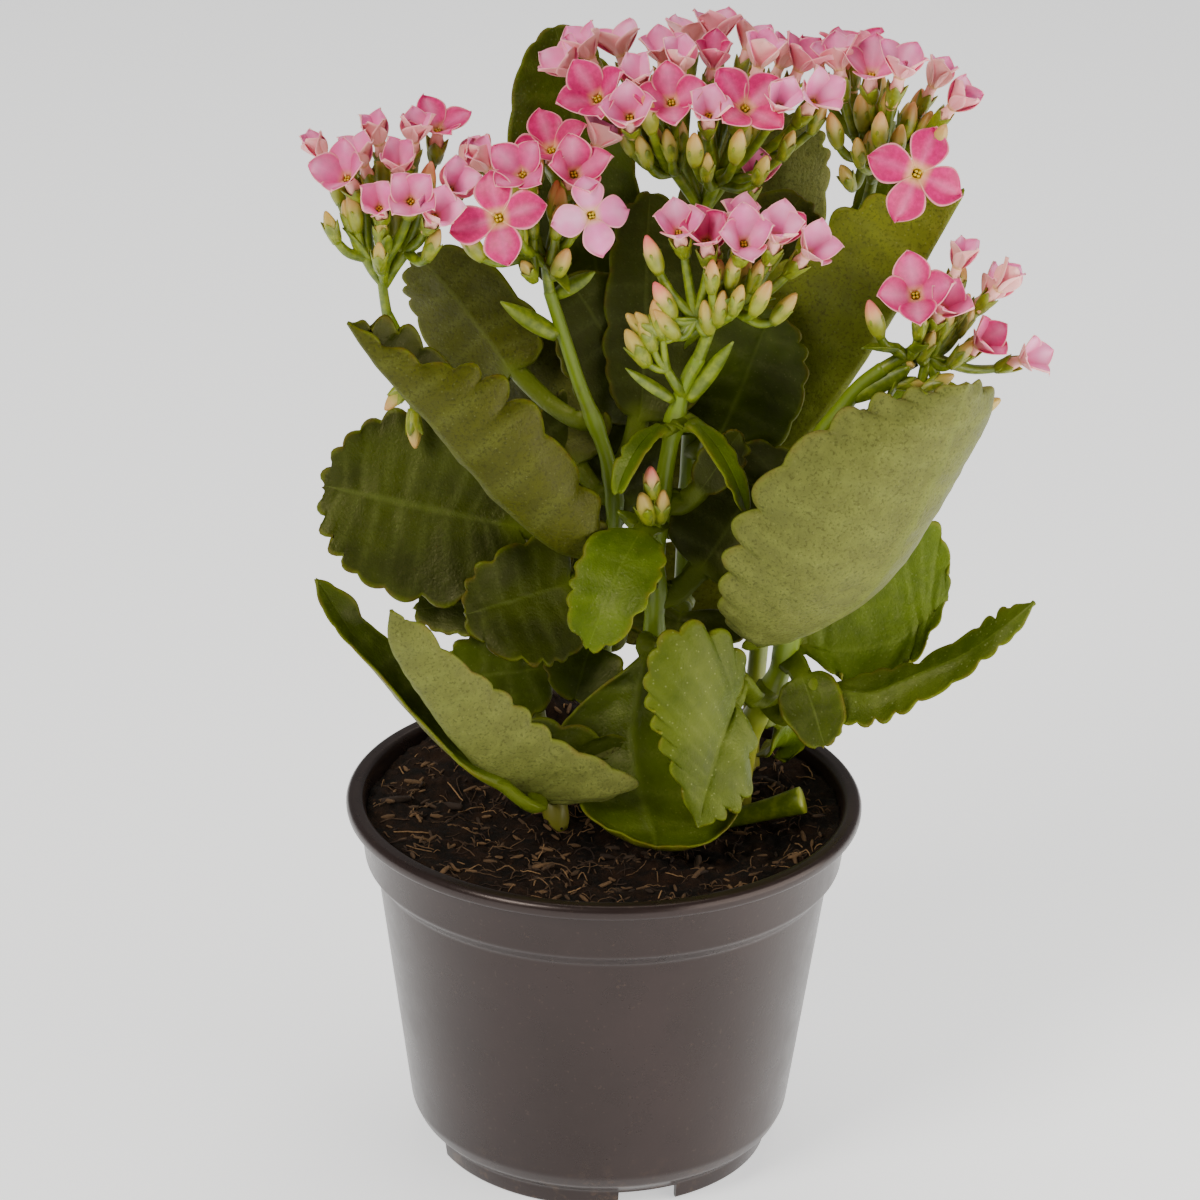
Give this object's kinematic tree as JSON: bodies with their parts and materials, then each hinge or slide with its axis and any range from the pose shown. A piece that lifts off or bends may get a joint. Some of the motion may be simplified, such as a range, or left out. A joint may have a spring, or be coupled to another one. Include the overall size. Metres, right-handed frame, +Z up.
{
  "type": "potted flowering plant",
  "caption": "Flowering kalanchoe with scalloped fleshy leaves and clusters of small pink four-petalled flowers, planted in soil in a round dark grey plastic nursery pot.",
  "frame": {"origin": "centre of the pot's base, on the surface it stands on", "axes": "+Z up along the pot's axis, -Y towards the side the picture shows, +X to the right in it"},
  "size_m": [0.1663, 0.12, 0.2615],
  "materials": {
    "pot_plastic": "satin moulded polypropylene with fine scuffs and soil dust",
    "potting_soil": "loose dark peat with fibres, wood chips and pale grains",
    "stem_green": "smooth fleshy stem with a soft sheen",
    "leaf_green": "waxy dark green upper leaf face",
    "leaf_underside": "pale grey-green leaf underside with fine specks",
    "leaf_light": "fresh bright green young leaf",
    "calyx_green": "smooth yellow-green flower stalks and calyces",
    "petal_hot_pink": "soft matt petal, hot pink with a pale edge",
    "petal_pink": "soft matt petal, mid pink with a pale edge",
    "petal_pale": "soft matt petal, pale pink with a peach edge"
  },
  "bodies": {
    "root": {"cut_leaf_stub": "stem_green", "flower_back_front": "petal_pink", "flower_back_left": "petal_hot_pink", "flower_back_mid": "petal_hot_pink", "flower_back_right": "petal_pale", "flower_back_right_top": "petal_pink", "flower_centre_left": "petal_pale", "flower_centre_mid": "petal_pale", "flower_centre_right": "petal_pale", "flower_hot_open": "petal_hot_pink", "flower_left_front": "petal_pink", "flower_left_outer": "petal_pink", "flower_left_top": "petal_hot_pink", "flower_mid_low": "petal_hot_pink", "flower_mid_pale": "petal_pale", "flower_mid_top": "petal_hot_pink", "flower_right_far": "petal_pale", "flower_right_open": "petal_pink", "flower_stalk_back": "calyx_green", "flower_stalk_back_right": "calyx_green", "flower_stalk_centre": "calyx_green", "flower_stalk_left": "calyx_green", "flower_stalk_mid_left": "calyx_green", "flower_stalk_right": "calyx_green", "leaf_back_grey": "leaf_underside", "leaf_back_grey_small": "leaf_underside", "leaf_back_right": "leaf_green", "leaf_centre_dark": "leaf_green", "leaf_centre_inner": "leaf_green", "leaf_centre_left": "leaf_green", "leaf_centre_small": "leaf_light", "leaf_centre_toothed": "leaf_green", "leaf_centre_upper": "leaf_green", "leaf_front_centre": "leaf_underside", "leaf_front_left_far": "leaf_light", "leaf_front_left_low": "leaf_underside", "leaf_left_inner": "leaf_underside", "leaf_left_large": "leaf_underside", "leaf_left_round": "leaf_green", "leaf_left_under": "leaf_green", "leaf_left_upper": "leaf_underside", "leaf_lower_left": "leaf_green", "leaf_lower_mid": "leaf_green", "leaf_right_bright": "leaf_light", "leaf_right_inner": "leaf_light", "leaf_right_large": "leaf_underside", "leaf_right_low": "leaf_light", "leaf_right_pointed": "leaf_green", "leaf_right_upper": "leaf_underside", "leaf_strap_left": "leaf_light", "leaf_strap_right": "leaf_light", "leaf_top_left": "leaf_green", "nursery_pot": "pot_plastic", "potting_soil": "potting_soil", "stem_back": "stem_green", "stem_back_right": "stem_green", "stem_centre": "stem_green", "stem_left": "stem_green", "stem_mid_left": "stem_green", "stem_right": "stem_green"}
  },
  "joints": []
}
